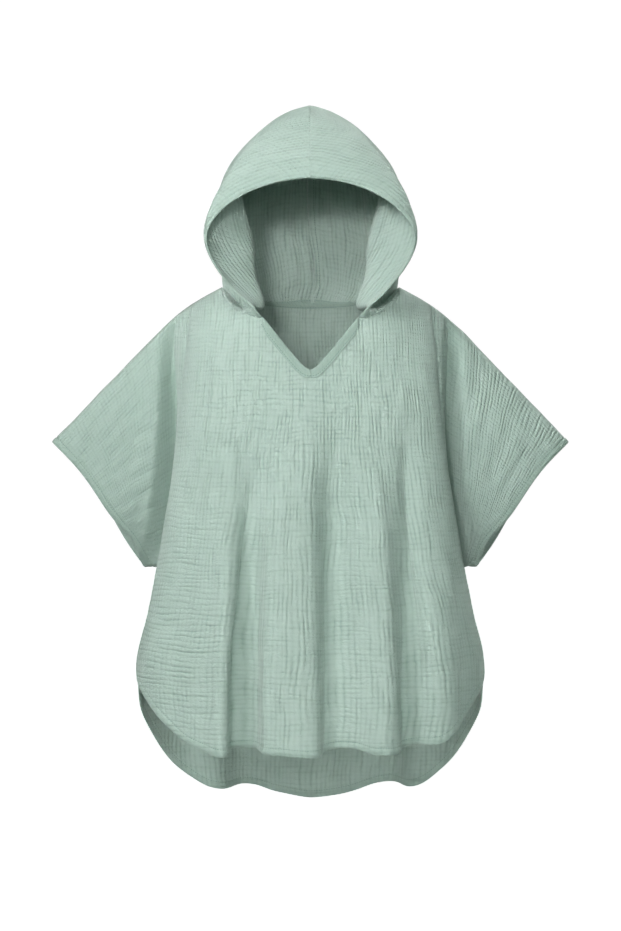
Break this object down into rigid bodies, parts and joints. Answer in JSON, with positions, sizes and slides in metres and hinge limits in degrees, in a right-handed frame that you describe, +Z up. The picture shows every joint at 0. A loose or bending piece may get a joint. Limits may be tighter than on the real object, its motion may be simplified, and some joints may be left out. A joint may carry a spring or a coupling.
{
  "type": "hooded bath poncho",
  "caption": "Child's hooded bath poncho in crinkled double gauze, worn and filled out with no wearer: V neck, wide kimono sleeves, shirt-tail hem longer at the back.",
  "frame": {"origin": "middle of the shoulder line, level with the points where the shoulder seams meet the hood", "axes": "+Z up, +Y towards the wearer's back, +X towards the wearer's left"},
  "size_m": [0.5958, 0.2184, 0.8092],
  "materials": {
    "gauze": "matt crinkled double gauze cotton in sage green"
  },
  "bodies": {
    "root": {"front_panel": "gauze", "back_panel": "gauze", "hood_left": "gauze", "hood_right": "gauze", "neck_band_left": "gauze", "neck_band_right": "gauze", "neck_tape": "gauze"}
  },
  "joints": []
}
